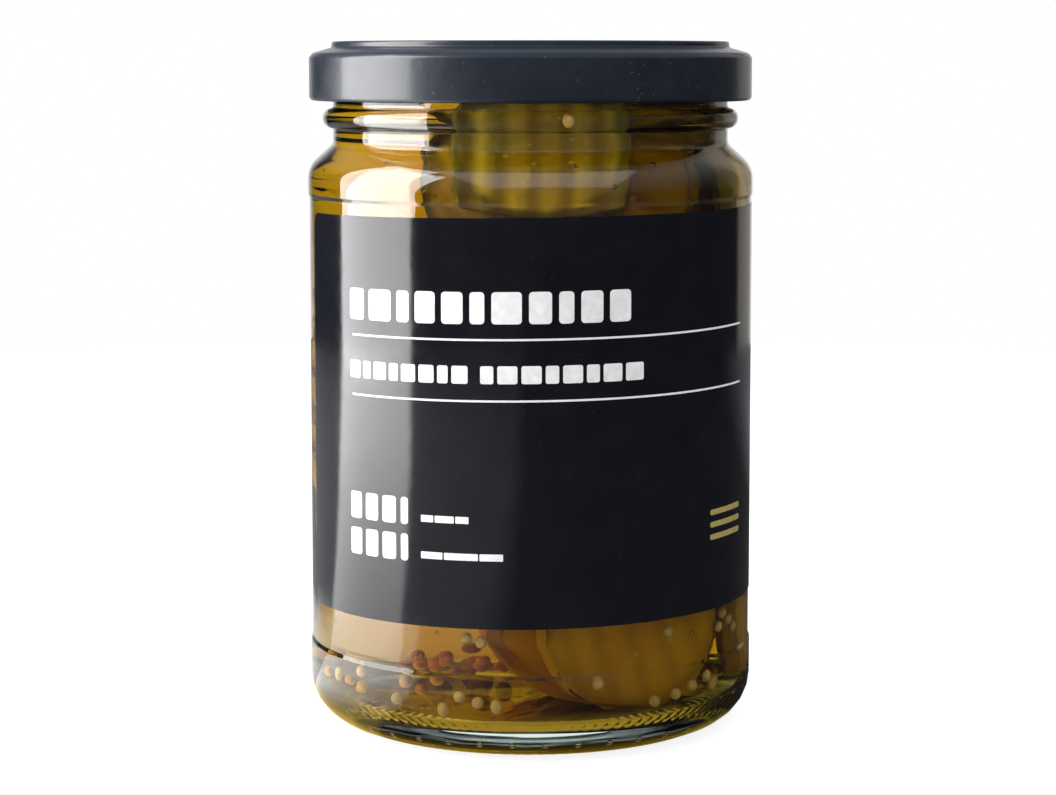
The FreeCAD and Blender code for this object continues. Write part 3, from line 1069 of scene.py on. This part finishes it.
def make_floor():
    """A plain pale table, white to the camera, with a painted amber pool of light under the jar that
    the jar shows, and a painted glow that the jar mirrors.
    """
    floor = start_piece(bpy.ops.mesh.primitive_circle_add, "studio_floor", vertices=96,
                        radius=TABLE_RADIUS, fill_type="NGON")
    bpy.ops.object.mode_set(mode="OBJECT")
    material, tree, shader = new_material("studio_white", Roughness=0.9, Specular_IOR_Level=0.1)
    path = add(tree, "LightPath").outputs
    place = object_place(tree)
    out = length_of(tree, place)
    inside = from_jar(tree, path)
    # painted amber pool of light under the jar, glowing for rays that the jar passes on or mirrors
    tinted = calculate(tree, "MULTIPLY", inside, spread(tree, out, 0.038, 0.055, 1, 0))
    caught = calculate(tree, "MULTIPLY", inside, spread(tree, out, 0.033, 0.036, 0.8, 0))
    # painted glow on the table, for mirrored rays only
    mirrored = calculate(tree, "MULTIPLY", path["Is Glossy Ray"], table_glow(tree, place, out))
    glow = calculate(tree, "MAXIMUM", table_white(tree, path, out), mirrored)
    feed(tree, shader["Base Color"], table_tone(tree, path, place))
    feed(tree, shader["Emission Color"], blend(tree, tinted, WHITE, AMBER_POOL))
    feed(tree, shader["Emission Strength"], calculate(tree, "MAXIMUM", glow, caught))
    floor.data.materials.append(material)


def mirrored_room(tree, sides):
    """What the jar mirrors: dark round about, paler in front, above, at the right and behind."""
    front = calculate(tree, "MULTIPLY", spread(tree, sides["Y"], -0.3, -0.8),
                      spread(tree, sides["Z"], -0.10, 0.25))
    room = blend(tree, front, ROOM_DARK, ROOM_FRONT)
    room = blend(tree, spread(tree, sides["Z"], 0.2, 0.5), room, ROOM_ABOVE)
    right = calculate(tree, "MULTIPLY", within(tree, sides["X"], 0.42, 0.70, 0.03),
                      spread(tree, sides["Y"], 0.5, 0.7))
    room = blend(tree, right, room, ROOM_RIGHT)
    return blend(tree, spread(tree, sides["Y"], 0.88, 0.97), room, ROOM_BEHIND)


def make_world():
    """White where it is seen, soft and pale where it lights, and a dim room where it is mirrored."""
    world = bpy.data.worlds.new("studio_air")
    bpy.context.scene.world = world
    world.use_nodes = True
    tree = world.node_tree
    sides = sides_of(tree, add(tree, "TexCoord").outputs["Generated"])
    path = add(tree, "LightPath").outputs
    soft = calculate(tree, "ADD", spread(tree, sides["X"], -1, 1, 0.95, 0.60),
                     spread(tree, sides["Z"], 0.1, 0.9, 0.0, 0.50))
    mirrored = calculate(tree, "GREATER_THAN", path["Glossy Depth"], 0.5)
    ambient = blend(tree, mirrored, soft, mirrored_room(tree, sides))
    seen = calculate(tree, "MAXIMUM", path["Is Camera Ray"], clean_through(tree, path))
    feed(tree, tree.nodes["Background"].inputs["Color"], blend(tree, seen, ambient, WHITE))


def softbox(name, place, aim, width, height, radiance):
    """A rectangular lamp of a given radiance, turned towards a point."""
    bpy.ops.object.light_add(type="AREA", location=place)
    lamp = bpy.context.object
    lamp.name = name
    lamp.data.shape = "RECTANGLE"
    lamp.data.size = width
    lamp.data.size_y = height
    lamp.data.energy = radiance * width * height * 4
    lamp.rotation_euler = (Vector(aim) - Vector(place)).to_track_quat("-Z", "Y").to_euler()
    return lamp


def make_lights():
    """A tall softbox at the left, and a wide dim one above."""
    softbox("left_softbox", (-0.55, -0.045, 0.40), (0, -0.03, 0.40), 0.50, 0.80, 6.3)
    fill = softbox("top_softbox", (0.05, -0.26, 0.70), (0, 0, 0.06), 0.90, 0.90, 0.9)
    fill.visible_glossy = False


def make_camera():
    """The camera looks a little down on the jar, from in front, with its view slid downwards."""
    camera_data = bpy.data.cameras.new("studio_camera")
    camera = bpy.data.objects.new("studio_camera", camera_data)
    bpy.context.scene.collection.objects.link(camera)
    camera.location = (-0.0004, -0.457, 0.1105)
    camera.rotation_euler = (math.radians(90 - 5.74), 0, 0)
    camera_data.lens = 93.3
    camera_data.sensor_width = 36
    camera_data.shift_y = -0.06
    camera_data.clip_start = 0.01
    bpy.context.scene.camera = camera


# ---------------------------------------------------------------- putting it together

def make_vessel():
    glass = glass_material()
    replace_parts(dress(make_glass(), glass), "jar")
    dress(make_heel_dots(), glass)
    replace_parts(dress(make_lid(), lid_material()), "lid")


def make_wrap():
    """The label with its pale back, and the print on it."""
    label = dress(make_label(), label_material())
    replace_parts(label, "label")
    label.data.materials.append(label_back_material())
    for face in label.data.polygons:
        faces_glass = face.normal.xy.dot(face.center.xy) < -0.5 * face.center.xy.length
        face.material_index = 1 if faces_glass else 0
    white = ink_material("ink_white", (0.82, 0.82, 0.82), (0.66, 0.66, 0.66))
    gold = ink_material("ink_gold", (0.42, 0.33, 0.10), (0.34, 0.27, 0.09))
    dress(print_on_label(white_print(), "print_white"), white)
    dress(print_on_label(mark_print(), "print_mark"), gold)


def make_contents():
    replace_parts(dress(make_brine(), brine_material()), "brine")
    gherkin = gherkin_material()
    for group in make_slices():
        dress(group, gherkin)
    dress(make_seeds(), seed_material())
    dress(make_bubbles(), bubble_material())


make_vessel()
make_wrap()
make_contents()
make_floor()
make_world()
make_lights()
make_camera()
bpy.context.scene.view_settings.view_transform = "Standard"
